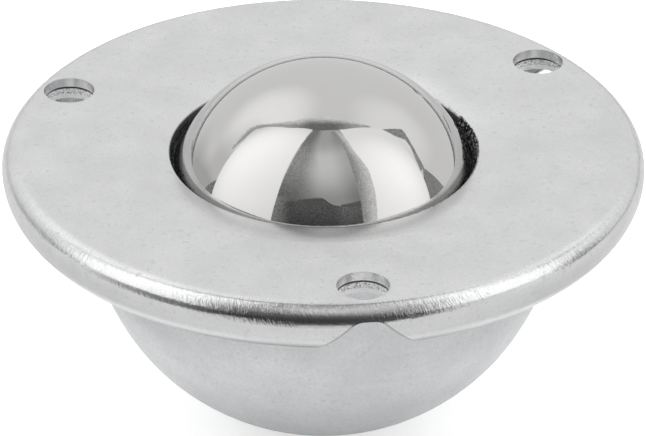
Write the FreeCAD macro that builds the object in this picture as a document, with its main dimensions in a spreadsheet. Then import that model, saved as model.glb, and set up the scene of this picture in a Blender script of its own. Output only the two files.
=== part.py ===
"""Ball castor with a round fixing flange, in millimetres.

The origin is on the ball's axis, in the plane that the flange's lip seats on. +Z points out of
the ball's crown, and one fixing hole is on the -Y side.
"""
import FreeCAD, Part
import math
import os

import Sketcher

doc = FreeCAD.newDocument("ball_castor")

# Driving dimensions, all in millimetres but for the ratio, the turn, the slope and the count
SIZES = {
    "ball_dia": 38.1,
    "crown_height": 15.95,
    "bearing_ratio": 8,
    "bearing_spacing": 0.02,
    "roll_clearance": 0.08,
    "race_wall": 1.1,
    "race_fit": 0.02,
    "retainer_sheet": 1.2,
    "retainer_gap": 0.3,
    "felt_gap": 0.1,
    "felt_fit": 0.1,
    "bowl_wall": 1.3,
    "bowl_rise": 1.7,
    "bowl_bend": 2.5,
    "bowl_fillet": 1.5,
    "flange_sheet": 1.5,
    "flange_reach": 10.0,
    "cover_sheet": 1.15,
    "cover_fit": 0.05,
    "rim_bend": 2.5,
    "lip_bend": 4.5,
    "lip_trim": 0.5,
    "lip_turn": 78.0,
    "dish_depth": 0.9,
    "dish_reach": 4.8,
    "opening_gap": 1.29,
    "opening_round": 0.3,
    "hole_dia": 6.1,
    "hole_edge": 5.0,
    "hole_count": 3,
    "notch_rise": 4.6,
    "notch_top": 2.8,
    "notch_slope": 45.0,
    "notch_round": 2.0,
    "notch_flare": 0.6,
}

# Sizes worked out from them, in the order in which they need each other
WORKED_OUT = {
    "ball_radius": "ball_dia / 2",
    "bearing_dia": "ball_dia / bearing_ratio",
    "ball_centre": "crown_height - ball_radius",
    "bearing_path": "ball_radius + roll_clearance + bearing_dia / 2",
    "race_inner": "bearing_path + bearing_dia / 2 + roll_clearance",
    "race_outer": "race_inner + race_wall",
    "race_low": "ball_centre - race_outer",
    "race_high": "ball_centre + bearing_dia / 2 + roll_clearance",
    "bore_radius": "race_outer + race_fit",
    "bowl_radius": "bore_radius + bowl_wall + bowl_rise",
    "bowl_centre": "ball_centre + bowl_rise",
    "bowl_low": "bowl_centre - bowl_radius",
    "rim_radius": "bowl_radius + flange_reach",
    "bend_height": "lip_bend - lip_trim",
    "bend_centre": "rim_radius - rim_bend",
    "rim_height": "bend_height + rim_bend",
    "rim_under": "rim_height - cover_sheet",
    "lip_centre": "rim_radius - lip_bend",
    "lip_inside": "lip_bend - cover_sheet",
    "lip_seat": "lip_centre + bend_height / tan(lip_turn * 1 deg)",
    "lip_end": "lip_centre + lip_inside * cos(lip_turn * 1 deg)",
    "lip_end_height": "bend_height - lip_inside * sin(lip_turn * 1 deg)",
    "opening_top": "rim_height - dish_depth",
    "opening_edge": "opening_top - opening_round",
    "opening_radius": "opening_gap + sqrt(ball_radius ^ 2 - (opening_top - ball_centre) ^ 2)",
    "opening_shoulder": "opening_radius + opening_round",
    "dish_radius": "opening_shoulder + dish_reach",
    "dish_bend": "(dish_reach ^ 2 + dish_depth ^ 2) / (2 * dish_depth)",
    "dish_centre": "rim_height - dish_bend",
    "dish_inner": "dish_bend - cover_sheet",
    "opening_under": "dish_centre + sqrt(dish_inner ^ 2 - (dish_radius - opening_radius) ^ 2)",
    "flange_top": "rim_under - cover_fit",
    "flange_under": "flange_top - flange_sheet",
    "flange_drop": "bend_height - flange_under",
    "flange_corner": "lip_centre + sqrt((lip_inside - cover_fit) ^ 2 - flange_drop ^ 2)",
    "bore_shoulder": "bore_radius + bowl_bend",
    "bore_bend_height": "flange_top - bowl_bend",
    "fillet_radius": "bowl_radius + bowl_fillet",
    "fillet_height": "flange_under - bowl_fillet",
    "retainer_high": "race_high + retainer_sheet",
    "retainer_bore": "retainer_gap + sqrt(ball_radius ^ 2 - (race_high - ball_centre) ^ 2)",
    "felt_sphere": "ball_radius + felt_gap",
    "felt_foot": "sqrt(felt_sphere ^ 2 - (retainer_high - ball_centre) ^ 2)",
    "felt_top": "opening_under - felt_fit",
    "felt_back": "rim_under - felt_fit",
    "hole_circle": "rim_radius - hole_edge",
    "corner_share": "tan((90 - notch_slope) / 2 * 1 deg)",
    "notch_corner": "notch_top / 2 - notch_round * corner_share",
    "notch_round_height": "notch_rise - notch_round",
    "notch_flank": "notch_rise - notch_round * corner_share * cos(notch_slope * 1 deg)",
    "notch_flank_across": "notch_top / 2 + notch_round * corner_share * sin(notch_slope * 1 deg)",
    "notch_foot": "notch_top / 2 + notch_rise * tan(notch_slope * 1 deg)",
    "notch_foot_flank": "notch_flare * corner_share * cos(notch_slope * 1 deg)",
    "notch_foot_width": "notch_foot - notch_foot_flank * tan(notch_slope * 1 deg)",
    "notch_mouth": "notch_foot + notch_flare * corner_share",
    "notch_below": "0 - notch_flare",
}


def make_sheet():
    """The spreadsheet of named sizes: plain numbers first, then what is worked out from them."""
    sheet = doc.addObject("Spreadsheet::Sheet", "sizes")
    rows = [(name, str(number)) for name, number in SIZES.items()]
    rows += [(name, "=" + formula) for name, formula in WORKED_OUT.items()]
    for row, (name, content) in enumerate(rows, start=1):
        sheet.set(f"A{row}", name)
        sheet.set(f"B{row}", content)
        sheet.setAlias(f"B{row}", name)
    doc.recompute()
    return sheet


sizes = make_sheet()


def size(name):
    """The number that a name stands for in the sheet; "0" is nought and a minus turns the sign."""
    if name == "0":
        return 0.0
    return -float(sizes.get(name[1:])) if name.startswith("-") else float(sizes.get(name))


def origin_feature(body, role):
    """One of a body's own origin planes or axes."""
    return next(part for part in body.Origin.OriginFeatures if part.Role == role)


def new_sketch(body, name, role):
    """An empty sketch on one of the body's own origin planes."""
    sketch = body.newObject("Sketcher::SketchObject", name)
    sketch.AttachmentSupport = [(origin_feature(body, role), "")]
    sketch.MapMode = "FlatFace"
    return sketch


def hold(sketch, kind, geometry, point, name):
    """Fixes one coordinate of a point to a named size, or to the axis where the name is 0."""
    if name == "0":
        axis = -2 if kind == "DistanceX" else -1
        sketch.addConstraint(Sketcher.Constraint("PointOnObject", geometry, point, axis))
        return
    index = sketch.addConstraint(Sketcher.Constraint(kind, -1, 1, geometry, point, size(name)))
    formula = "-sizes." + name[1:] if name.startswith("-") else "sizes." + name
    sketch.setExpression(f"Constraints[{index}]", formula)


def line(across, up):
    """A straight step of an outline, to a point."""
    return {"across": across, "up": up}


def arc(centre, turn, across=None, up=None, side=1):
    """A round step of an outline, about a centre, to where it meets one coordinate."""
    return {"centre": centre, "turn": turn, "across": across, "up": up, "side": side}


def arc_end(start, centre, step):
    """Where an arc from start about centre meets the one coordinate that its step names."""
    radius = math.dist(start, centre)
    if step["across"] is not None:
        across = size(step["across"])
        reach = math.sqrt(max(radius ** 2 - (across - centre[0]) ** 2, 0.0))
        return across, centre[1] + step["side"] * reach
    up = size(step["up"])
    reach = math.sqrt(max(radius ** 2 - (up - centre[1]) ** 2, 0.0))
    return centre[0] + step["side"] * reach, up


def add_arc(sketch, start, centre, end, turn):
    """Adds an arc and returns it with the numbers of its first and last points."""
    first, last = (start, end) if turn == "left" else (end, start)
    circle = Part.Circle(FreeCAD.Vector(*centre, 0), FreeCAD.Vector(0, 0, 1), math.dist(start, centre))
    angles = [math.atan2(point[1] - centre[1], point[0] - centre[0]) for point in (first, last)]
    geometry = sketch.addGeometry(Part.ArcOfCircle(circle, angles[0], angles[1]), False)
    return (geometry, 1, 2) if turn == "left" else (geometry, 2, 1)


def draw_outline(sketch, start, steps):
    """Draws a closed outline: each step is held by named sizes, and a last line closes it."""
    here = (size(start[0]), size(start[1]))
    home = here
    before = None
    for step in steps:
        if "centre" in step:
            centre = (size(step["centre"][0]), size(step["centre"][1]))
            there = arc_end(here, centre, step)
            geometry, first, last = add_arc(sketch, here, centre, there, step["turn"])
        else:
            there = (size(step["across"]), size(step["up"]))
            ends = [FreeCAD.Vector(*point, 0) for point in (here, there)]
            geometry, first, last = sketch.addGeometry(Part.LineSegment(*ends), False), 1, 2
        if before is None:
            opening = (geometry, first)
            hold(sketch, "DistanceX", geometry, first, start[0])
            hold(sketch, "DistanceY", geometry, first, start[1])
        else:
            sketch.addConstraint(Sketcher.Constraint("Coincident", *before, geometry, first))
        if "centre" in step:
            hold(sketch, "DistanceX", geometry, 3, step["centre"][0])
            hold(sketch, "DistanceY", geometry, 3, step["centre"][1])
        if step["across"] is not None:
            hold(sketch, "DistanceX", geometry, last, step["across"])
        if step["up"] is not None:
            hold(sketch, "DistanceY", geometry, last, step["up"])
        here = there
        before = (geometry, last)
    ends = [FreeCAD.Vector(*point, 0) for point in (here, home)]
    closing = sketch.addGeometry(Part.LineSegment(*ends), False)
    sketch.addConstraint(Sketcher.Constraint("Coincident", *before, closing, 1))
    sketch.addConstraint(Sketcher.Constraint("Coincident", closing, 2, *opening))


def turned_body(name, start, steps):
    """A body made by turning one outline about the ball's axis."""
    body = doc.addObject("PartDesign::Body", name)
    body.Label = name
    sketch = new_sketch(body, name + "_outline", "XZ_Plane")
    draw_outline(sketch, start, steps)
    turned = body.newObject("PartDesign::Revolution", name + "_turned")
    turned.Profile = sketch
    turned.ReferenceAxis = (sketch, ["V_Axis"])
    turned.Angle = 360
    doc.recompute()
    return body


def pocket(body, sketch, name, side):
    """Cuts a sketch through the body, on both sides of its plane or along its normal alone."""
    before = body.Shape.Volume
    cut = body.newObject("PartDesign::Pocket", name)
    cut.Profile = sketch
    cut.Type = "ThroughAll"
    cut.SideType = side
    cut.Reversed = side == "One side"
    doc.recompute()
    if body.Shape.Volume >= before:
        raise RuntimeError(name + " cuts nothing")
    return cut


def hole_pocket(body):
    """The fixing hole on the -Y side."""
    sketch = new_sketch(body, body.Label + "_hole_outline", "XY_Plane")
    centre = FreeCAD.Vector(0, -size("hole_circle"), 0)
    circle = Part.Circle(centre, FreeCAD.Vector(0, 0, 1), size("hole_dia") / 2)
    sketch.addGeometry(circle, False)
    sketch.addConstraint(Sketcher.Constraint("PointOnObject", 0, 3, -2))
    place = sketch.addConstraint(Sketcher.Constraint("DistanceY", 0, 3, -1, 1, size("hole_circle")))
    sketch.setExpression(f"Constraints[{place}]", "sizes.hole_circle")
    width = sketch.addConstraint(Sketcher.Constraint("Diameter", 0, size("hole_dia")))
    sketch.setExpression(f"Constraints[{width}]", "sizes.hole_dia")
    return pocket(body, sketch, body.Label + "_hole", "Symmetric")


def round_the_flange(body, features):
    """Repeats the cuts at each fixing hole."""
    pattern = body.newObject("PartDesign::PolarPattern", body.Label + "_round")
    pattern.Originals = features
    pattern.Axis = (origin_feature(body, "Z_Axis"), [""])
    pattern.Angle = 360
    pattern.setExpression("Occurrences", "sizes.hole_count")
    body.Tip = pattern
    doc.recompute()


def make_housing():
    """The pressed bowl with its flat flange, thinner at the bottom where the press draws it."""
    body = turned_body("housing", ("0", "bowl_low"), [
        arc(("0", "bowl_centre"), "left", up="bowl_centre"),
        line("bowl_radius", "fillet_height"),
        arc(("fillet_radius", "fillet_height"), "right", across="fillet_radius"),
        line("flange_corner", "flange_under"),
        arc(("lip_centre", "bend_height"), "left", up="bend_height"),
        arc(("bend_centre", "bend_height"), "left", across="bend_centre"),
        line("bore_shoulder", "flange_top"),
        arc(("bore_shoulder", "bore_bend_height"), "left", up="bore_bend_height", side=-1),
        line("bore_radius", "ball_centre"),
        arc(("0", "ball_centre"), "right", across="0", side=-1),
    ])
    round_the_flange(body, [hole_pocket(body)])
    return body


def notch_pocket(body):
    """The notch in the rolled lip under one hole, which lets the screw past the lip."""
    sketch = new_sketch(body, "notch_outline", "XZ_Plane")
    draw_outline(sketch, ("-notch_mouth", "notch_below"), [
        line("-notch_mouth", "0"),
        arc(("-notch_mouth", "notch_flare"), "left", up="notch_foot_flank"),
        line("-notch_flank_across", "notch_flank"),
        arc(("-notch_corner", "notch_round_height"), "right", across="-notch_corner"),
        line("notch_corner", "notch_rise"),
        arc(("notch_corner", "notch_round_height"), "right", up="notch_flank"),
        line("notch_foot_width", "notch_foot_flank"),
        arc(("notch_mouth", "notch_flare"), "left", across="notch_mouth", side=-1),
        line("notch_mouth", "notch_below"),
    ])
    return pocket(body, sketch, "notch", "One side")


def make_cover():
    """The pressed cover plate, drawn in round its opening, with its rim rolled under."""
    body = turned_body("cover", ("opening_radius", "opening_edge"), [
        arc(("opening_shoulder", "opening_edge"), "right", across="opening_shoulder"),
        arc(("dish_radius", "dish_centre"), "right", across="dish_radius"),
        line("bend_centre", "rim_height"),
        arc(("bend_centre", "bend_height"), "right", up="bend_height"),
        arc(("lip_centre", "bend_height"), "right", up="0"),
        line("lip_seat", "0"),
        line("lip_end", "lip_end_height"),
        arc(("lip_centre", "bend_height"), "left", up="bend_height"),
        arc(("bend_centre", "bend_height"), "left", across="bend_centre"),
        line("dish_radius", "rim_under"),
        arc(("dish_radius", "dish_centre"), "left", across="opening_radius"),
    ])
    round_the_flange(body, [hole_pocket(body), notch_pocket(body)])
    return body


def make_race_cup():
    """The hardened cup that lines the bowl: half a sphere with a short straight neck."""
    return turned_body("race_cup", ("0", "race_low"), [
        arc(("0", "ball_centre"), "left", up="ball_centre"),
        line("race_outer", "race_high"),
        line("race_inner", "race_high"),
        line("race_inner", "ball_centre"),
        arc(("0", "ball_centre"), "right", across="0", side=-1),
    ])


def make_ball_retainer():
    """The hardened ring that keeps the top row of bearing balls in the cup."""
    return turned_body("ball_retainer", ("retainer_bore", "race_high"), [
        line("race_outer", "race_high"),
        line("race_outer", "retainer_high"),
        line("retainer_bore", "retainer_high"),
    ])


def make_felt_seal():
    """The felt ring between the retainer and the cover, which wipes the ball."""
    return turned_body("felt_seal", ("felt_foot", "retainer_high"), [
        arc(("0", "ball_centre"), "left", up="felt_top"),
        line("race_outer", "felt_back"),
        line("race_outer", "retainer_high"),
    ])


def make_load_ball():
    """The polished ball that carries the load."""
    ball = doc.addObject("Part::Sphere", "load_ball")
    ball.Label = "load_ball"
    ball.setExpression("Radius", "sizes.ball_radius")
    ball.setExpression("Placement.Base.z", "sizes.ball_centre")
    return ball


def bearing_ball(name, tilt, azimuth):
    """One bearing ball, tilt degrees up from the bottom of the cup."""
    ball = doc.addObject("Part::Sphere", name)
    ball.Label = name
    ball.setExpression("Radius", "sizes.bearing_dia / 2")
    across = size("bearing_path") * math.sin(math.radians(tilt))
    drop = size("bearing_path") * math.cos(math.radians(tilt))
    turn = math.radians(azimuth)
    place = FreeCAD.Vector(across * math.cos(turn), across * math.sin(turn), size("ball_centre") - drop)
    ball.Placement = FreeCAD.Placement(place, FreeCAD.Rotation())
    return ball


def balls_that_fit(radius):
    """How many bearing balls fit round a circle of this radius."""
    pitch = size("bearing_dia") + size("bearing_spacing")
    return int(math.pi / math.asin(pitch / (2 * radius)))


def make_bearing_balls():
    """Rows of bearing balls from the bottom of the cup up to the ball's equator.

    Each row is three groups, one for each third of a turn. The top row starts on the X axis,
    and the ball there is a part of its own.
    """
    parts = [bearing_ball("bottom_bearing_ball", 0.0, 0.0)]
    pitch = size("bearing_dia") + size("bearing_spacing")
    row_pitch = 2 * math.asin(pitch / (2 * size("bearing_path")))
    row_count = int(math.pi / 2 / row_pitch)
    for row in range(1, row_count + 1):
        tilt = 90.0 * row / row_count
        count = balls_that_fit(size("bearing_path") * math.sin(math.radians(tilt)))
        stagger = 0.5 * ((row_count - row) % 2)
        thirds = {1: [], 2: [], 3: []}
        for index in range(count):
            azimuth = 360.0 * (index + stagger) / count
            if row == row_count and index == 0:
                parts.append(bearing_ball("side_bearing_ball", tilt, azimuth))
                continue
            ball = bearing_ball(f"bearing_ball_{row}_{index}", tilt, azimuth)
            thirds[1 + int(azimuth // 120)].append(ball)
        for third, balls in thirds.items():
            group = doc.addObject("Part::Compound", f"bearing_row_{row}_third_{third}")
            group.Label = f"bearing_row_{row}_third_{third}"
            group.Links = balls
            parts.append(group)
    return parts


def write_parts(parts):
    """Checks every object and every part's shape, then writes one file for each part."""
    doc.recompute()
    for item in doc.Objects:
        if "Invalid" in item.State or "Error" in item.State:
            raise RuntimeError(f"{item.Label} failed: {item.State}")
    for part in parts:
        if part.Shape.isNull() or not part.Shape.isValid():
            raise RuntimeError(part.Label + " has no valid shape")
    os.makedirs("parts", exist_ok=True)
    for part in parts:
        part.Shape.exportStep(f"parts/{part.Label}.step")


write_parts([
    make_cover(),
    make_housing(),
    make_race_cup(),
    make_ball_retainer(),
    make_felt_seal(),
    make_load_ball(),
    *make_bearing_balls(),
])
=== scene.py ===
"""Looks of the ball castor: materials, felt fibres, studio light and the camera of the photograph."""
import bpy
import math
import random
from mathutils import Matrix, Vector, noise


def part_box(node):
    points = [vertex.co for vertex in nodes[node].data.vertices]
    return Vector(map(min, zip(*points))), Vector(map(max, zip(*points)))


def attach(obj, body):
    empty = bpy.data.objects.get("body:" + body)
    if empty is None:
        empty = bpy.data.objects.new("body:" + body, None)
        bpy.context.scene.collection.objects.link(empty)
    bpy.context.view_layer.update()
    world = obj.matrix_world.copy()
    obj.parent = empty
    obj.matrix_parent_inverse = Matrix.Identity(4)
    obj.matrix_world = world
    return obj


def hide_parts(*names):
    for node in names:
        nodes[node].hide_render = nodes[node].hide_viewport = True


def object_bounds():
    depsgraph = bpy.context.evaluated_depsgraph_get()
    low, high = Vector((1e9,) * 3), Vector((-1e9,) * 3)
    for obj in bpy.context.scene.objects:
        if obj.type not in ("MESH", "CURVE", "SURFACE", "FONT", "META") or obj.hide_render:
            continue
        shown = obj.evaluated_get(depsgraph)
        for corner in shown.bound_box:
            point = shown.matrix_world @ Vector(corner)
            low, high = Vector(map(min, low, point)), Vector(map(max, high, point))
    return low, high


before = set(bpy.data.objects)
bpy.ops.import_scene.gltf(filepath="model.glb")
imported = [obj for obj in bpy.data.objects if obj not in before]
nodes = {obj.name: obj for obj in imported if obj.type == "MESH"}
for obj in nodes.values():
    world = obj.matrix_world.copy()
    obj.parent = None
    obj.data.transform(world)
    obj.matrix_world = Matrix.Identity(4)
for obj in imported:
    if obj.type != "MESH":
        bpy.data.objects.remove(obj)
cad_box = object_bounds()


# The cover: a zinc-plated pressing. Its plating is a fine grain with soft clouds and a few pits,
# and the rim's bend carries the short streaks that the press draws into it. A painted shade darkens
# it along the lip's foot and the flanks of the V notches.

low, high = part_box("cover")
RIM_RADIUS = high.x
FLANGE_TOP = high.z
BEND_START = RIM_RADIUS - 0.0024
BEND_END = RIM_RADIUS - 0.001
STREAK_RADIUS = 0.037
HOLE_STEP = 2 * math.pi / 3
NOTCH_RISE = 0.0046
NOTCH_HALF_TOP = 0.0014
PLATING_RELIEF = 0.000006


def feed(tree, value, socket):
    """Gives a socket a constant or links another node's output to it."""
    if isinstance(value, bpy.types.NodeSocket):
        tree.links.new(value, socket)
    else:
        socket.default_value = value


def feed_all(tree, node, **sockets):
    """Feeds the named sockets of a node; an underscore stands for a space in a socket's name."""
    for key, value in sockets.items():
        feed(tree, value, node.inputs[key.replace("_", " ")])
    return node


def add_node(tree, kind, settings=None, **sockets):
    """A new node with its settings and its sockets fed."""
    node = tree.nodes.new("ShaderNode" + kind)
    for key, value in (settings or {}).items():
        setattr(node, key, value)
    return feed_all(tree, node, **sockets)


def calc(tree, operation, *operands, kind="Math"):
    """The number that a Math node gives, or a VectorMath node."""
    node = add_node(tree, kind, {"operation": operation})
    for value, socket in zip(operands, node.inputs):
        feed(tree, value, socket)
    return node.outputs["Value"]


def plus(tree, first, second):
    """The sum of two numbers."""
    return calc(tree, "ADD", first, second)


def minus(tree, first, second):
    """The first number less the second."""
    return calc(tree, "SUBTRACT", first, second)


def times(tree, first, second):
    """The product of two numbers."""
    return calc(tree, "MULTIPLY", first, second)


def long_side(tree, first, second):
    """The long side of a right triangle with these two short sides."""
    return calc(tree, "SQRT", plus(tree, times(tree, first, first), times(tree, second, second)))


def parts(tree, vector):
    """The X, Y and Z of a vector."""
    return add_node(tree, "SeparateXYZ", Vector=vector).outputs[:]


def off_axis(tree, place):
    """How far a place lies from the Z axis."""
    x, y = parts(tree, place)[:2]
    return long_side(tree, x, y)


def turn_from_hole(tree, place):
    """The angle round the Z axis from the nearest fixing hole, one of which lies on the -Y side."""
    x, y = parts(tree, place)[:2]
    turn = plus(tree, calc(tree, "ARCTAN2", y, x), math.pi / 2 + HOLE_STEP / 2)
    return minus(tree, calc(tree, "FLOORED_MODULO", turn, HOLE_STEP), HOLE_STEP / 2)


def ramp(tree, value, low, high, out_low=0.0, out_high=1.0):
    """A smooth step: out_low where the value is under low, out_high where it is over high."""
    node = add_node(tree, "MapRange", {"interpolation_type": "SMOOTHSTEP"})
    for socket, number in zip(node.inputs, (value, low, high, out_low, out_high)):
        feed(tree, number, socket)
    return node.outputs["Result"]


def grey(level):
    """A colour without a tint."""
    return (level, level, level, 1)


def blend_colour(tree, share, first, second):
    """The output of a Mix node between two colours."""
    node = add_node(tree, "Mix", {"data_type": "RGBA"}, Factor=share)
    feed(tree, first, node.inputs[6])
    feed(tree, second, node.inputs[7])
    return node.outputs[2]


def noise_at(tree, place, scale, detail=2.0, roughness=0.5):
    """The value of a noise texture, from 0 to 1."""
    node = add_node(tree, "TexNoise", {"noise_dimensions": "3D"}, Vector=place, Scale=scale,
                    Detail=detail, Roughness=roughness)
    return node.outputs["Fac"]


def relief(tree, height, depth):
    """The normal of a surface with a fine relief, in which a height of 1 is depth metres."""
    return add_node(tree, "Bump", Strength=1.0, Distance=depth, Height=height).outputs["Normal"]


def new_group(name, numbers_in, numbers_out):
    """An empty node group that takes a place and numbers and gives numbers, with its two end nodes."""
    group = bpy.data.node_groups.new(name, "ShaderNodeTree")
    group.interface.new_socket("Place", in_out="INPUT", socket_type="NodeSocketVector")
    for socket in numbers_in:
        group.interface.new_socket(socket, in_out="INPUT", socket_type="NodeSocketFloat")
    for socket in numbers_out:
        group.interface.new_socket(socket, in_out="OUTPUT", socket_type="NodeSocketFloat")
    return group, group.nodes.new("NodeGroupInput"), group.nodes.new("NodeGroupOutput")


def use_group(tree, group, **sockets):
    """A node that stands for a group in a material."""
    return add_node(tree, "Group", {"node_tree": group}, **sockets)


def new_material(name):
    """A material with its tree, its shader and the place of each point on the object."""
    material = bpy.data.materials.new(name)
    material.use_nodes = True
    tree = material.node_tree
    place = add_node(tree, "TexCoord").outputs["Object"]
    return material, tree, tree.nodes["Principled BSDF"], place


def dress(obj, material):
    """Gives every face of an object one material."""
    obj.data.materials.clear()
    obj.data.materials.append(material)


def make_plating():
    """Plating: cloud and grain as one shade from 0 to 1, and the same grain with pits as a height."""
    tree, taken, given = new_group("plating", ["Grain Scale"], ["Shade", "Height"])
    place = taken.outputs["Place"]
    grain_scale = taken.outputs["Grain Scale"]
    grain = noise_at(tree, place, grain_scale, 3.0, 0.65)
    speckle = noise_at(tree, place, times(tree, grain_scale, 2.3), 1.0)
    cloud = noise_at(tree, place, 160.0, 3.0, 0.55)
    pits = ramp(tree, noise_at(tree, place, 1500.0, 0.0), 0.70, 0.80)
    shade = plus(tree, times(tree, grain, 0.55), times(tree, cloud, 0.45))
    shade = minus(tree, shade, times(tree, pits, 0.35))
    height = plus(tree, times(tree, grain, 0.7), times(tree, speckle, 0.3))
    height = minus(tree, height, times(tree, pits, 0.8))
    feed_all(tree, given, Shade=ramp(tree, shade, 0.30, 0.72), Height=height)
    return tree


def make_streaks():
    """Drawn streaks: fine lines that run up and over the rim's bend, from 0 to 1."""
    tree, taken, given = new_group("drawn_streaks", [], ["Streak"])
    place = taken.outputs["Place"]
    x, y, z = parts(tree, place)
    round_rim = times(tree, calc(tree, "ARCTAN2", y, x), STREAK_RADIUS)
    slanted = plus(tree, round_rim, times(tree, z, 0.35))
    wander = times(tree, noise_at(tree, place, 900.0, 2.0), 2.5)
    across = plus(tree, times(tree, slanted, 3600.0), wander)
    outward = times(tree, off_axis(tree, place), 900.0)
    drawn_out = add_node(tree, "CombineXYZ", X=across, Y=outward, Z=times(tree, z, 900.0))
    fine = noise_at(tree, drawn_out.outputs["Vector"], 1.0, 3.0, 0.65)
    feed_all(tree, given, Streak=ramp(tree, fine, 0.25, 0.75))
    return tree


def make_painted_edge_shade():
    """Painted shade at the cut edges: how near a place lies to the lip's foot or to the flank of a V notch,
    from 0 to 1, where a dark line of shade is painted.
    """
    tree, taken, given = new_group("painted_edge_shade", [], ["Near Cut"])
    place = taken.outputs["Place"]
    z = parts(tree, place)[2]
    sideways = times(tree, off_axis(tree, place), calc(tree, "SINE", turn_from_hole(tree, place)))
    across = minus(tree, calc(tree, "ABSOLUTE", sideways), NOTCH_HALF_TOP)
    flank = plus(tree, across, minus(tree, z, NOTCH_RISE))
    off_flank = times(tree, calc(tree, "ABSOLUTE", flank), math.sqrt(0.5))
    at_flank = ramp(tree, off_flank, 0.0001, 0.0003, 1.0, 0.0)
    under_top = ramp(tree, z, NOTCH_RISE - 0.0002, NOTCH_RISE, 1.0, 0.0)
    at_foot = ramp(tree, z, 0.0008, 0.0016, 0.8, 0.0)
    feed_all(tree, given, Near_Cut=calc(tree, "MAXIMUM", times(tree, at_flank, under_top), at_foot))
    return tree


plating = make_plating()
zinc_cover, tree, shader, place = new_material("zinc_cover")
skin = use_group(tree, plating, Place=place, Grain_Scale=4200.0)
lines = use_group(tree, make_streaks(), Place=place)
edge_shade = use_group(tree, make_painted_edge_shade(), Place=place)
on_bend = ramp(tree, off_axis(tree, place), BEND_START, BEND_END)
tone = blend_colour(tree, skin.outputs["Shade"], (0.61, 0.613, 0.616, 1), (0.725, 0.727, 0.729, 1))
# Painted shade: the plating is darkened to grey along the lip's foot and the flanks of the V notches.
tone = blend_colour(tree, edge_shade.outputs["Near Cut"], tone, grey(0.40))
rough = ramp(tree, skin.outputs["Shade"], 0.0, 1.0, 0.34, 0.26)
rough = minus(tree, rough, times(tree, on_bend, 0.19))
drawn = times(tree, times(tree, lines.outputs["Streak"], on_bend), 2.4)
normal = relief(tree, plus(tree, skin.outputs["Height"], drawn), PLATING_RELIEF)
feed_all(tree, shader, Base_Color=tone, Metallic=1.0, Roughness=rough, Normal=normal)
dress(nodes["cover"], zinc_cover)


# The housing: the same plating on the drawn bowl, a little coarser and duller, with faint rings
# that the deep draw leaves round its axis. The walls of its fixing holes are torn metal, with a
# line of painted shade at their top, under the cover.

HOLE_CIRCLE = RIM_RADIUS - 0.005
HOLE_RADIUS = 0.00305
FLANGE_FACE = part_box("housing")[1].z


def stretched(tree, place, scale, rotation=(0.0, 0.0, 0.0)):
    """A place scaled by its own number along each axis, for noise that lies in lines."""
    node = add_node(tree, "Mapping", {"vector_type": "POINT"}, Vector=place, Rotation=rotation, Scale=scale)
    return node.outputs["Vector"]


def make_torn_holes_and_gap_shade():
    """Torn metal: how much a place lies in a hole's wall, and three looks of that wall from 0 to 1.

    They are the crumbled grain of its broken part, a line of painted shade at the top of the wall for the
    dark gap under the cover, and the bright sheared part."""
    tree, taken, given = new_group("torn_holes_and_gap_shade", [], ["In Hole", "Crumb", "Gap", "Sheared"])
    place = taken.outputs["Place"]
    z = parts(tree, place)[2]
    turn = turn_from_hole(tree, place)
    reach = off_axis(tree, place)
    across = times(tree, reach, calc(tree, "SINE", turn))
    outward = minus(tree, times(tree, reach, calc(tree, "COSINE", turn)), HOLE_CIRCLE)
    from_hole = long_side(tree, across, outward)
    in_hole = ramp(tree, from_hole, HOLE_RADIUS + 0.00003, HOLE_RADIUS + 0.00012, 1.0, 0.0)
    crumb = ramp(tree, noise_at(tree, place, 4200.0, 3.0, 0.7), 0.36, 0.56)
    # Painted shade: the top of the hole wall, just under the cover, is marked for a near-black line that
    # stands in for the shadow in the gap between the sheets.
    gap = ramp(tree, z, FLANGE_FACE - 0.00023, FLANGE_FACE - 0.00014)
    sheared = ramp(tree, z, FLANGE_FACE - 0.001, FLANGE_FACE - 0.0008, 1.0, 0.0)
    feed_all(tree, given, In_Hole=in_hole, Crumb=crumb, Gap=gap, Sheared=sheared)
    return tree


zinc_bowl, tree, shader, place = new_material("zinc_bowl")
skin = use_group(tree, plating, Place=place, Grain_Scale=3000.0)
hole = use_group(tree, make_torn_holes_and_gap_shade(), Place=place)
in_hole = hole.outputs["In Hole"]
crumb = hole.outputs["Crumb"]
rings = noise_at(tree, stretched(tree, place, (40.0, 40.0, 900.0)), 1.0, 2.0, 0.5)
shade = plus(tree, times(tree, skin.outputs["Shade"], 0.7), times(tree, rings, 0.3))
tone = blend_colour(tree, shade, (0.55, 0.56, 0.57, 1), (0.69, 0.697, 0.705, 1))
hole_wall = blend_colour(tree, crumb, (0.34, 0.34, 0.345, 1), grey(0.92))
hole_wall = blend_colour(tree, hole.outputs["Sheared"], hole_wall, (0.93, 0.935, 0.94, 1))
# Painted shade: the gap's line at the top of the hole wall is painted near black.
hole_wall = blend_colour(tree, hole.outputs["Gap"], hole_wall, grey(0.03))
tone = blend_colour(tree, in_hole, tone, hole_wall)
rough = ramp(tree, shade, 0.0, 1.0, 0.44, 0.34)
torn_height = times(tree, crumb, times(tree, in_hole, 9.0))
bowl_height = plus(tree, skin.outputs["Height"], times(tree, rings, 0.8))
normal = relief(tree, plus(tree, torn_height, bowl_height), PLATING_RELIEF)
metal = minus(tree, 1.0, times(tree, in_hole, 0.75))
feed_all(tree, shader, Base_Color=tone, Metallic=metal, Roughness=rough, Normal=normal)
dress(nodes["housing"], zinc_bowl)


# The load ball: ground and polished steel, almost a mirror, with a breath of haze and hairline marks
# from rolling.

BALL_RELIEF = 0.0000004

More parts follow.
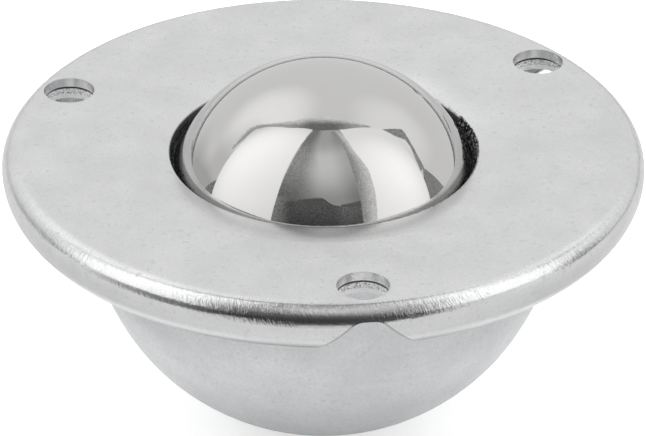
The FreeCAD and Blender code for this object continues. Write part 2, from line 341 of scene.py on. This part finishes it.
ball_steel, tree, shader, place = new_material("ball_steel")
haze = noise_at(tree, place, 110.0, 4.0, 0.6)
hair_place = stretched(tree, place, (900.0, 60.0, 900.0), (0.6, 0.9, 0.3))
hairs = ramp(tree, noise_at(tree, hair_place, 3.0, 1.0), 0.68, 0.80)
tone = blend_colour(tree, haze, (0.545, 0.54, 0.535, 1), (0.585, 0.58, 0.575, 1))
rough = plus(tree, ramp(tree, haze, 0.35, 0.75, 0.022, 0.045), times(tree, hairs, 0.05))
normal = relief(tree, minus(tree, noise_at(tree, place, 3000.0, 2.0), hairs), BALL_RELIEF)
feed_all(tree, shader, Base_Color=tone, Metallic=1.0, Roughness=rough, Normal=normal)
dress(nodes["load_ball"], ball_steel)


# The race cup, the retainer and the bearing balls: hardened steel inside the bowl, ground on the
# cup and the ring and polished on the balls.

WHEEL_MARK_RELIEF = 0.000004

ground_steel, tree, shader, place = new_material("ground_steel")
marks = noise_at(tree, stretched(tree, place, (80.0, 80.0, 2600.0)), 1.0, 3.0, 0.6)
tone = blend_colour(tree, marks, (0.36, 0.36, 0.37, 1), (0.52, 0.52, 0.53, 1))
rough = ramp(tree, marks, 0.2, 0.8, 0.38, 0.24)
normal = relief(tree, marks, WHEEL_MARK_RELIEF)
feed_all(tree, shader, Base_Color=tone, Metallic=1.0, Roughness=rough, Normal=normal)
dress(nodes["race_cup"], ground_steel)
dress(nodes["ball_retainer"], ground_steel)

bearing_steel, tree, shader, place = new_material("bearing_steel")
haze = noise_at(tree, place, 700.0, 3.0, 0.6)
tone = blend_colour(tree, haze, grey(0.54), grey(0.60))
feed_all(tree, shader, Base_Color=tone, Metallic=1.0, Roughness=ramp(tree, haze, 0.3, 0.7, 0.06, 0.12))
for name, node in nodes.items():
    if "bearing" in name:
        dress(node, bearing_steel)


# The felt ring: black wool felt that stands in the gap round the ball. Its top is uneven, and loose
# fibres stand out of it, some of them over the edge of the cover's opening.

low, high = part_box("load_ball")
BALL_CENTRE = (low.z + high.z) / 2
BALL_RADIUS = (high.z - low.z) / 2
FELT_SPHERE = BALL_RADIUS + 0.0001
low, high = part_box("felt_seal")
FELT_OUTER = high.x
FELT_FOOT = low.z
FELT_BACK = high.z
FELT_TOP = FELT_BACK - 0.00113
FELT_RELIEF = 0.00008
FELT_SIDES = 720
WALL_STEPS = 6
TOP_STEPS = 8
TOP_STRIDE = 0.0002


def new_object(name, points, faces, material):
    """An object with a mesh of its own and one material."""
    mesh = bpy.data.meshes.new(name)
    mesh.from_pydata(points, [], faces)
    mesh.update()
    thing = bpy.data.objects.new(name, mesh)
    bpy.context.scene.collection.objects.link(thing)
    dress(thing, material)
    return thing


def new_piece(name, points, faces, body, material):
    """A smooth mesh piece that rides on a body."""
    piece = new_object(name, points, faces, material)
    piece.data.polygons.foreach_set("use_smooth", [True] * len(piece.data.polygons))
    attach(piece, body)
    return piece


def felt_reach(up):
    """How far the felt's inner wall lies from the axis at a height: it is round, like the ball."""
    return math.sqrt(FELT_SPHERE ** 2 - (up - BALL_CENTRE) ** 2)


felt_black, tree, shader, place = new_material("felt_black")
nap = noise_at(tree, place, 3800.0, 4.0, 0.7)
flecks = ramp(tree, noise_at(tree, place, 6000.0, 1.0), 0.60, 0.68)
tone = blend_colour(tree, nap, (0.006, 0.006, 0.007, 1), (0.022, 0.022, 0.024, 1))
tone = blend_colour(tree, flecks, tone, grey(0.32))
rough = ramp(tree, nap, 0.0, 1.0, 0.98, 0.88)
feed_all(tree, shader, Base_Color=tone, Roughness=rough, Normal=relief(tree, nap, FELT_RELIEF))
feed_all(tree, shader, Sheen_Weight=0.12, Sheen_Roughness=0.5, Specular_IOR_Level=0.15)

# The ring's section, from its outer foot up the inner wall, over the top and back to the outer edge.
felt_inner = felt_reach(FELT_TOP)
felt_profile = [(FELT_OUTER, FELT_FOOT)]
for step in range(WALL_STEPS + 1):
    up = FELT_FOOT + (FELT_TOP - FELT_FOOT) * step / WALL_STEPS
    felt_profile.append((felt_reach(up), up))
for step in range(TOP_STEPS):
    felt_profile.append((felt_inner + TOP_STRIDE * (step + 1), FELT_TOP))
felt_profile.append((FELT_OUTER, FELT_BACK))
first_top = WALL_STEPS + 1
last_top = WALL_STEPS + TOP_STEPS

points, faces = [], []
for side in range(FELT_SIDES):
    angle = 2 * math.pi * side / FELT_SIDES
    for index, (reach, up) in enumerate(felt_profile):
        x, y = reach * math.cos(angle), reach * math.sin(angle)
        if first_top <= index <= last_top:
            here = Vector((x, y, up))
            up += 0.00009 * noise.noise(here * 2600) + 0.00005 * noise.noise(here * 700)
            up += 0.00008 * math.sin(math.pi * (index - first_top) / (last_top - first_top))
        points.append((x, y, up))
count = len(felt_profile)
for side in range(FELT_SIDES):
    a, b = side * count, ((side + 1) % FELT_SIDES) * count
    for index in range(count):
        nxt = (index + 1) % count
        faces.append((a + index, b + index, b + nxt, a + nxt))
felt_ring = new_piece("felt_ring", points, faces, "fixed_unit", felt_black)
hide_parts("felt_seal")

fibre_black, tree, shader, place = new_material("fibre_black")
pale_share = ramp(tree, noise_at(tree, place, 3600.0, 1.0), 0.55, 0.63)
tone = blend_colour(tree, pale_share, (0.008, 0.008, 0.009, 1), grey(0.45))
feed_all(tree, shader, Base_Color=tone, Roughness=0.8, Specular_IOR_Level=0.25)

FIBRE_COUNT = 5200
FIBRE_CORNERS = 3
CURL_STEPS = 4


def add_fibre(points, faces, path, width):
    """A thin three-sided fibre along a path, tapering to its tip."""
    first = len(points)
    last = len(path) - 1
    for step, here in enumerate(path):
        along = (path[min(step + 1, last)] - path[max(step - 1, 0)]).normalized()
        across = along.orthogonal().normalized()
        other = along.cross(across)
        half = width / 2 * (1 - 0.7 * step / last)
        for corner in range(FIBRE_CORNERS):
            turn = 2 * math.pi * corner / FIBRE_CORNERS
            points.append(here + half * (math.cos(turn) * across + math.sin(turn) * other))
    for step in range(last):
        for corner in range(FIBRE_CORNERS):
            a = first + step * FIBRE_CORNERS + corner
            b = first + step * FIBRE_CORNERS + (corner + 1) % FIBRE_CORNERS
            faces.append((a, b, b + FIBRE_CORNERS, a + FIBRE_CORNERS))


def curled(root, heading, bend, length):
    """The path of a fibre that leaves its root along heading and curls towards bend."""
    path = [root]
    along = heading.normalized()
    for step in range(CURL_STEPS):
        path.append(path[-1] + along * (length / CURL_STEPS))
        along = (along + bend * 0.35).normalized()
    return path


def felt_place(angle, reach, up):
    """A place on the felt: its angle round the ball, its distance from the axis and its height."""
    return Vector((reach * math.cos(angle), reach * math.sin(angle), up))


random.seed(11)
points, faces = [], []
for index in range(FIBRE_COUNT):
    angle = random.uniform(0, 2 * math.pi)
    reach = felt_inner + random.uniform(0.00005, 0.00045)
    root = felt_place(angle, reach, FELT_TOP + random.uniform(-0.00005, 0.0001))
    outward = Vector((math.cos(angle), math.sin(angle), 0))
    sideways = Vector((-outward.y, outward.x, 0))
    heading = Vector((0, 0, random.uniform(0.3, 1.0)))
    heading += sideways * random.uniform(-1, 1)
    heading += outward * random.uniform(-0.15, 0.25)
    bend = sideways * random.uniform(-1, 1)
    bend += Vector((0, 0, random.uniform(-1.0, 0.3)))
    path = curled(root, heading, bend, random.uniform(0.0003, 0.0009))
    add_fibre(points, faces, path, random.uniform(0.00002, 0.000035))

# Worn tufts that stand out over the edge of the opening, all of them on the side that faces +X:
# the angle of each in degrees and its size.
OPENING_RADIUS = 0.01824
OPENING_TOP = FLANGE_TOP - 0.0009
TUFT_FIBRES = 60
TUFTS = [(17, 0.7), (14, 0.5), (11, 0.7), (8, 0.7), (5, 0.9), (2, 1.0), (-1, 1.0), (-4, 0.7), (-7, 0.5),
         (-10, 0.3)]
for degrees, size in TUFTS:
    for index in range(round(TUFT_FIBRES * size)):
        angle = math.radians(degrees + random.gauss(0, 0.7))
        lift = random.uniform(0.00002, 0.00006)
        over = size * random.uniform(0.00005, 0.0003)
        lean = random.gauss(0, 0.02)
        path = [
            felt_place(angle, felt_inner + 0.0003, FELT_TOP),
            felt_place(angle, OPENING_RADIUS - 0.00022, OPENING_TOP - 0.0005),
            felt_place(angle + lean / 3, OPENING_RADIUS + 0.00003, OPENING_TOP + lift),
            felt_place(angle + lean / 2, OPENING_RADIUS + over / 2, OPENING_TOP + lift + over * 0.2),
            felt_place(angle + lean, OPENING_RADIUS + over, OPENING_TOP + lift + over * 0.42),
        ]
        add_fibre(points, faces, path, random.uniform(0.00004, 0.00007))
felt_fibres = new_piece("felt_fibres", points, faces, "fixed_unit", fibre_black)


# The studio: a pale floor under the bowl, white all round, and two large leaning softboxes in dark
# frames that meet over the ball, with the dim room and the camera's dark stand between them.

CAMERA_AZIMUTH = math.radians(262.04)
FLOOR_HALF = 4
IN_FRONT = 0.98
floor_z = cad_box[0].z
card_foot_z = floor_z + 0.001


def stage_mesh(name, points, faces, material):
    """A mesh that belongs to the studio."""
    thing = new_object(name, points, faces, material)
    return thing


def place_on(tree):
    """The place of each point of a mesh of the studio."""
    return add_node(tree, "TexCoord").outputs["Object"]


def vector_calc(tree, operation, *operands):
    """The number that an operation on vectors gives."""
    return calc(tree, operation, *operands, kind="VectorMath")


# The floor: matt, brighter to the camera than its light makes it, and darker in metal, where it also
# has a soft glow round the bowl. Seen from below it isn't there.
pale_floor = bpy.data.materials.new("pale_floor")
pale_floor.use_nodes = True
tree = pale_floor.node_tree
tree.nodes.clear()
path = add_node(tree, "LightPath")
place = place_on(tree)
spread = vector_calc(tree, "LENGTH", place)
to_side = ramp(tree, calc(tree, "ABSOLUTE", parts(tree, place)[0]), 0.005, 0.035, 0.0, 0.14)
round_bowl = plus(tree, to_side, ramp(tree, spread, 0.022, 0.042, 0.0, 0.25))
round_bowl = times(tree, round_bowl, ramp(tree, spread, 0.044, 0.058, 1.0, 0.0))
strength = plus(tree, times(tree, path.outputs["Is Camera Ray"], 0.5),
                times(tree, path.outputs["Is Glossy Ray"], round_bowl))
in_metal = times(tree, path.outputs["Is Glossy Ray"], ramp(tree, spread, 0.058, 0.08))
matt = add_node(tree, "BsdfDiffuse", Color=blend_colour(tree, in_metal, grey(0.82), grey(0.74)))
glow = add_node(tree, "Emission", Color=grey(1), Strength=strength)
lit = add_node(tree, "AddShader")
feed(tree, matt.outputs[0], lit.inputs[0])
feed(tree, glow.outputs[0], lit.inputs[1])
both_sides = add_node(tree, "MixShader")
feed(tree, add_node(tree, "NewGeometry").outputs["Backfacing"], both_sides.inputs[0])
feed(tree, lit.outputs[0], both_sides.inputs[1])
feed(tree, add_node(tree, "BsdfTransparent").outputs[0], both_sides.inputs[2])
feed(tree, both_sides.outputs[0], add_node(tree, "OutputMaterial").inputs[0])
corners = [(FLOOR_HALF * x, FLOOR_HALF * y, floor_z) for x, y in ((-1, -1), (1, -1), (1, 1), (-1, 1))]
stage_mesh("floor", corners, [(0, 1, 2, 3)], pale_floor)

# The white room: greyer in metal low on the left and behind on the left, and brighter round the top
# of each softbox, for which it has the way there, the closeness at which the glow starts and its most.
ROOM_LIGHT = 0.6
TOP_GLOWS = [((-0.458, 0.43, 0.778), 0.85, 0.34), ((0.677, 0.218, 0.703), 0.87, 0.2)]
world = bpy.data.worlds.new("studio")
bpy.context.scene.world = world
world.use_nodes = True
tree = world.node_tree
tree.nodes.clear()
path = add_node(tree, "LightPath")
sight = add_node(tree, "TexCoord").outputs["Generated"]
x, y, z = parts(tree, sight)
low_left = times(tree, ramp(tree, x, -0.95, -0.44, 0.58, 0.0), ramp(tree, z, 0.0, 0.3, 1.0, 0.0))
behind_left = times(tree, ramp(tree, x, -0.6, -0.45, 0.15, 0.0), ramp(tree, y, 0.4, 0.6, 1.0, 0.0))
in_metal = minus(tree, ramp(tree, z, 0.05, 0.6, 0.92, 0.95), low_left)
in_metal = minus(tree, in_metal, behind_left)
for glow_way, start, most in TOP_GLOWS:
    near = vector_calc(tree, "DOT_PRODUCT", sight, glow_way)
    in_metal = plus(tree, in_metal, ramp(tree, near, start, 1.0, 0.0, most))
white = calc(tree, "MAXIMUM", path.outputs["Is Camera Ray"], path.outputs["Is Transmission Ray"])
white = calc(tree, "MAXIMUM", white, times(tree, path.outputs["Is Glossy Ray"], in_metal))
sky = add_node(tree, "Background", Color=grey(1), Strength=calc(tree, "MAXIMUM", white, ROOM_LIGHT))
feed(tree, sky.outputs[0], add_node(tree, "OutputWorld").inputs[0])


def glow_material(name):
    """A material that only glows, with its tree and the socket of its strength."""
    material = bpy.data.materials.new(name)
    material.use_nodes = True
    tree = material.node_tree
    tree.nodes.clear()
    glow = add_node(tree, "Emission")
    feed(tree, glow.outputs[0], add_node(tree, "OutputMaterial").inputs[0])
    return material, tree, glow.inputs["Strength"]


def way_to(tree):
    """The direction from the origin to each point of a card, with a length of 1."""
    return add_node(tree, "VectorMath", {"operation": "NORMALIZE"}, Vector=place_on(tree)).outputs["Vector"]


def speckled(tree, spread):
    """A speckle round 1, by which a card's glow is multiplied."""
    return ramp(tree, noise_at(tree, way_to(tree), 85.0, 2.0, 0.75), 0.32, 0.68, 1 - spread, 1 + spread)


def share_across(tree):
    """How far a point of a card lies from its first edge to its second, from 0 to 1."""
    return add_node(tree, "Attribute", {"attribute_name": "across"}).outputs["Fac"]


def grey_card(name, near, far, spread=0.45):
    """A speckled glow that goes from one strength at the card's first edge to another at its second."""
    material, tree, strength = glow_material(name)
    level = ramp(tree, share_across(tree), 0.0, 1.0, near, far)
    feed(tree, times(tree, level, speckled(tree, spread)), strength)
    return material


def card(name, first, second, material):
    """A card between two edges with as many places each; only metal mirrors it."""
    count = len(first)
    faces = [(i, i + 1, count + i + 1, count + i) for i in range(count - 1)]
    thing = stage_mesh(name, list(first) + list(second), faces, material)
    across = thing.data.attributes.new("across", "FLOAT", "POINT")
    across.data.foreach_set("value", [0.0] * count + [1.0] * count)
    thing.visible_camera = False
    thing.visible_diffuse = False
    thing.visible_shadow = False
    thing.visible_transmission = False
    thing.visible_volume_scatter = False


def add_lamp(name, spot):
    """A lamp as large as a softbox, which faces the object and isn't seen itself."""
    lamp_data = bpy.data.lights.new(name, "AREA")
    lamp_data.shape = "RECTANGLE"
    lamp_data.size = 0.8
    lamp_data.size_y = 1.0
    lamp_data.energy = 4.0
    lamp = bpy.data.objects.new(name, lamp_data)
    bpy.context.scene.collection.objects.link(lamp)
    lamp.location = spot
    lamp.rotation_mode = "QUATERNION"
    lamp.rotation_quaternion = (-spot).to_track_quat("-Z", "Y")
    lamp.visible_camera = False
    lamp.visible_glossy = False


# Corners of each softbox: foot outer, foot inner, top inner, top outer.
SOFTBOXES = {
    "left": [(-0.98, 0.185, 0.15), (-0.265, -0.255, 0.12), (-0.11, 0.06, 1.11), (-0.83, 0.50, 1.13)],
    "right": [(0.935, -0.17, 0.155), (0.23, -0.37, 0.145), (0.19, 0.01, 1.11), (0.895, 0.21, 1.12)],
}
# For each cloth: its brightest place, the reach of its glow, its strength there and beyond that reach.
CLOTH_GLOW = {
    "left": ((-0.54, 0.09, 0.55), 1.47, 1.63, 0.32),
    "right": ((0.53, -0.18, 0.41), 0.6, 1.62, 1.2),
}
# For each skirt, which hangs from the foot to the floor: its glow at its outer and its inner end.
SKIRT_GLOW = {"left": (1.35, 0.2), "right": (1.15, 0.85)}
SKIRT_SPECKLE = 0.2
for side, corners in SOFTBOXES.items():
    foot_out, foot_in, top_in, top_out = (Vector(corner) for corner in corners)
    bright_place, glow_reach, bright, dim = CLOTH_GLOW[side]
    cloth, tree, strength = glow_material(side + "_softbox_cloth")
    off_bright = vector_calc(tree, "DISTANCE", place_on(tree), bright_place)
    feed(tree, ramp(tree, off_bright, 0.0, glow_reach, bright, dim), strength)
    card(side + "_softbox", (foot_out, foot_in), (top_out, top_in), cloth)
    skirt_out, skirt_in = (Vector((foot.x, foot.y, card_foot_z)) for foot in (foot_out, foot_in))
    skirt_cloth = grey_card(side + "_skirt_cloth", *SKIRT_GLOW[side], SKIRT_SPECKLE)
    card(side + "_softbox_skirt", (foot_out, skirt_out), (foot_in, skirt_in), skirt_cloth)
    add_lamp(side + "_lamp", (foot_out + foot_in + top_in + top_out) / 4)


def toward(turn, rise, distance):
    """A place in the studio: degrees to the right of the camera's side, degrees over level, metres."""
    azimuth = CAMERA_AZIMUTH + math.radians(turn)
    level = distance * math.cos(math.radians(rise))
    up = distance * math.sin(math.radians(rise))
    return Vector((level * math.cos(azimuth), level * math.sin(azimuth), up))


def edge(places, distance):
    """Places along a card's edge, from their directions round the object."""
    return [toward(turn, rise, distance) for turn, rise in places]


def beside_cloth(side, places):
    """Places in a softbox's plane, just in front of it.

    Each is a share of its foot, from its outer corner, and a share of its height."""
    foot_out, foot_in, top_in, top_out = (Vector(corner) * IN_FRONT for corner in SOFTBOXES[side])
    return [foot_out + across * (foot_in - foot_out) + up * (top_out - foot_out) for across, up in places]


def room_glow(tree):
    """The strength of the room behind the camera, by height."""
    z = parts(tree, way_to(tree))[2]
    return minus(tree, ramp(tree, z, 0.60, 0.90, 0.43, 0.86), ramp(tree, z, 0.93, 0.995, 0.0, 0.30))


def over_stand(tree):
    """How far a direction lies over the top of the camera's stand, from 0 to 1."""
    x, y, z = parts(tree, way_to(tree))
    top = minus(tree, ramp(tree, x, -0.55, -0.15, 0.58, 0.64), ramp(tree, x, -0.12, 0.06, 0.0, 0.075))
    return ramp(tree, minus(tree, z, top), -0.01, 0.01)


def shaded_room(name, start, first, second, spread, before_stand):
    """The room's glow, shaded to the first share up to start of the way across a card, then to the second.

    Before the stand the card has two strengths of its own, one at each edge."""
    material, tree, strength = glow_material(name)
    across = share_across(tree)
    shade = ramp(tree, across, start, 1.0, first, second)
    over = over_stand(tree)
    level = times(tree, over, times(tree, room_glow(tree), shade))
    before = times(tree, minus(tree, 1.0, over), ramp(tree, across, 0.0, 0.6, *before_stand))
    grain = blend_colour(tree, across, speckled(tree, spread), grey(1))
    feed(tree, times(tree, plus(tree, level, before), grain), strength)
    return material


# The frames beside the cloths. The left one is dark and fades into the room, the right one is grey with
# a shade before it, and the left one's foot stands before the dark stand.
card("left_frame",
     beside_cloth("left", [(1.03, 1.0), (1.01, 0.6), (1.01, 0.3), (1.0, 0.1)]),
     beside_cloth("left", [(1.17, 1.0), (1.18, 0.6), (1.24, 0.3), (1.28, 0.12)]),
     shaded_room("left_frame_cloth", 0.3, 0.5, 1.0, 0.45, (0.30, 0.13)))
card("left_frame_foot",
     beside_cloth("left", [(1.0, 0.1), (0.99, -0.03)]),
     beside_cloth("left", [(1.1, 0.12), (1.1, -0.03)]),
     grey_card("left_foot_frame_cloth", 0.30, 0.11))
card("right_frame",
     beside_cloth("right", [(1.11, 1.0), (1.1, 0.75), (1.09, 0.5), (1.1, 0.3), (1.1, 0.15), (1.1, -0.02)]),
     beside_cloth("right", [(1.04, 0.96), (1.01, 0.75), (1.0, 0.5), (0.95, 0.3), (0.96, 0.15),
                            (0.99, -0.02)]),
     grey_card("right_frame_cloth", 0.42, 0.88, 0.3))
card("right_frame_shade",
     beside_cloth("right", [(1.2, 1.0), (1.27, 0.7), (1.3, 0.5), (1.3, 0.3), (1.27, 0.2), (1.25, 0.11)]),
     beside_cloth("right", [(1.11, 1.0), (1.1, 0.7), (1.09, 0.5), (1.1, 0.3), (1.1, 0.2), (1.09, 0.08)]),
     shaded_room("right_shade_cloth", 0.0, 1.0, 0.72, 0.0, (0.15, 0.15)))

# The frames' tops, which meet over the ball: darkest straight over it, and fading into the white behind.
FRAME_DISTANCE = 1.08
frame_top_cloth, tree, strength = glow_material("frame_top_cloth")
to_side = calc(tree, "ABSOLUTE", parts(tree, way_to(tree))[0])
dark = ramp(tree, to_side, 0.1, 0.38, 0.22, 0.55)
behind = ramp(tree, share_across(tree), 0.0, 0.62, 1.0, 0.0)
level = plus(tree, dark, times(tree, behind, minus(tree, 0.95, dark)))
feed(tree, times(tree, level, speckled(tree, 0.25)), strength)
card("frame_tops",
     edge([(-107, 31), (-112, 37), (-117, 42), (-118, 47), (-117, 54), (-118, 62), (-124, 70),
           (-148, 75), (-178, 78), (150, 77), (132, 73), (123, 70), (116, 65), (113, 60)], FRAME_DISTANCE),
     edge([(-105, 32), (-107, 39), (-111, 44), (-113, 47), (-113, 54), (-109, 65), (-104, 73),
           (-95, 80), (-120, 89), (101, 83), (103, 77), (106, 73), (109, 67), (111, 60)], FRAME_DISTANCE),
     frame_top_cloth)

# The right frame's lower corner, the outer ends of both softboxes at the floor, and the floor's far edge.
CORNER_DISTANCE = 1.1
FOOT_DISTANCE = 1.05
FAR_EDGE_DISTANCE = 1.6
FAR_EDGE_TURNS = range(108, 253, 36)
card("right_corner",
     edge([(111, 53), (118, 39), (109, 34), (103, 29), (99, 23)], CORNER_DISTANCE),
     edge([(108, 45), (109, 38), (106, 35), (99, 30), (94, 24)], CORNER_DISTANCE),
     grey_card("corner_cloth", 0.4, 0.4))
card("left_foot",
     edge([(-95, 17), (-100, 9), (-103, -2)], FOOT_DISTANCE),
     edge([(-90, 15), (-88, 9), (-86, -2)], FOOT_DISTANCE),
     grey_card("left_foot_cloth", 0.28, 0.28))
card("right_foot",
     edge([(98, 24), (104, 6), (106, -2)], FOOT_DISTANCE),
     edge([(92, 20), (86, 8), (84, -2)], FOOT_DISTANCE),
     grey_card("right_foot_cloth", 0.35, 0.3))
card("far_edge",
     edge([(turn, 0.6) for turn in FAR_EDGE_TURNS], FAR_EDGE_DISTANCE),
     edge([(turn, -1.2) for turn in FAR_EDGE_TURNS], FAR_EDGE_DISTANCE),
     grey_card("far_edge_cloth", 0.3, 0.3))

# The camera's stand: dark, with an uneven top, which is given by turn and rise in degrees.
STAND_DISTANCE = 1.3
STAND_TOP = [(-44, 31), (-40, 32), (-34, 35), (-29, 36), (-21, 38), (-12, 39), (-5, 40), (0, 40), (5, 37),
             (9, 35), (14, 34), (21, 33), (27, 31), (34, 30), (40, 28)]
dark_stand, tree, strength = glow_material("dark_stand")
x, y, z = parts(tree, way_to(tree))
level = times(tree, ramp(tree, z, 0.2, 0.62, 0.055, 0.135), ramp(tree, x, 0.0, 0.15, 1.0, 1.5))
feed(tree, times(tree, level, speckled(tree, 0.5)), strength)
stand_foot = [(turn, -1) for turn, rise in STAND_TOP]
card("stand", edge(STAND_TOP, STAND_DISTANCE), edge(stand_foot, STAND_DISTANCE), dark_stand)

# The stand's shade on the floor: its near edge by turn and distance, and the turns of its far edge.
SHADE_NEAR = [(-27, 1.2), (-19, 0.2), (-9, 0.1), (4, 0.098), (13, 0.15), (28, 1.2)]
SHADE_FAR_TURNS = [-28, -19, -9, 4, 14, 29]
shade_cloth, tree, strength = glow_material("stand_shade_cloth")
dimmed = ramp(tree, vector_calc(tree, "LENGTH", place_on(tree)), 0.1, 0.27, 0.8, 0.08)
feed(tree, times(tree, dimmed, speckled(tree, 0.4)), strength)
to_floor = Vector((0, 0, card_foot_z))
card("stand_shade",
     [toward(turn, 0, distance) + to_floor for turn, distance in SHADE_NEAR],
     [toward(turn, 0, STAND_DISTANCE) + to_floor for turn in SHADE_FAR_TURNS],
     shade_cloth)

# The room behind the camera, seen between the frames, and its ceiling.
ROOM_DISTANCE = 2.4
ROOM_TURNS = range(-60, 61, 8)
ROOM_RISES = [30, 40, 50, 60, 70, 80, 88]
CEILING = 2.39
dim_room, tree, strength = glow_material("dim_room")
feed(tree, room_glow(tree), strength)
for lower, upper in zip(ROOM_RISES, ROOM_RISES[1:]):
    card("room_wall",
         edge([(turn, lower) for turn in ROOM_TURNS], ROOM_DISTANCE),
         edge([(turn, upper) for turn in ROOM_TURNS], ROOM_DISTANCE),
         dim_room)
card("room_top", [(-0.5, -0.6, CEILING), (0.5, -0.6, CEILING)], [(-0.5, 0.2, CEILING), (0.5, 0.2, CEILING)],
     dim_room)


# The camera, fitted to the outlines in the photograph. It looks at a place on the axis a little under
# the flange's top, and its lens is given by the focal length in the photo's pixels.

CAMERA_RISE = 29.455
CAMERA_DISTANCE = 0.6
AIM_DROP = 0.01037
ROLL = math.radians(0.31)
SENSOR_WIDTH = 36
PHOTO_WIDTH_PIXELS = 646
FOCAL_LENGTH_PIXELS = 5066

spot = Vector((0, 0, FLANGE_TOP)) + toward(0, CAMERA_RISE, CAMERA_DISTANCE)
back = (spot - Vector((0, 0, FLANGE_TOP - AIM_DROP))).normalized()
right = Vector((0, 0, 1)).cross(back).normalized()
up = back.cross(right)
rolled_right = math.cos(ROLL) * right + math.sin(ROLL) * up
rolled_up = math.cos(ROLL) * up - math.sin(ROLL) * right
camera_data = bpy.data.cameras.new("camera")
camera_data.sensor_width = SENSOR_WIDTH
camera_data.lens = SENSOR_WIDTH * FOCAL_LENGTH_PIXELS / PHOTO_WIDTH_PIXELS
camera = bpy.data.objects.new("camera", camera_data)
bpy.context.scene.collection.objects.link(camera)
attitude = Matrix((rolled_right, rolled_up, back)).transposed().to_4x4()
camera.matrix_world = Matrix.Translation(spot) @ attitude
bpy.context.scene.camera = camera
bpy.context.scene.view_settings.view_transform = "Standard"
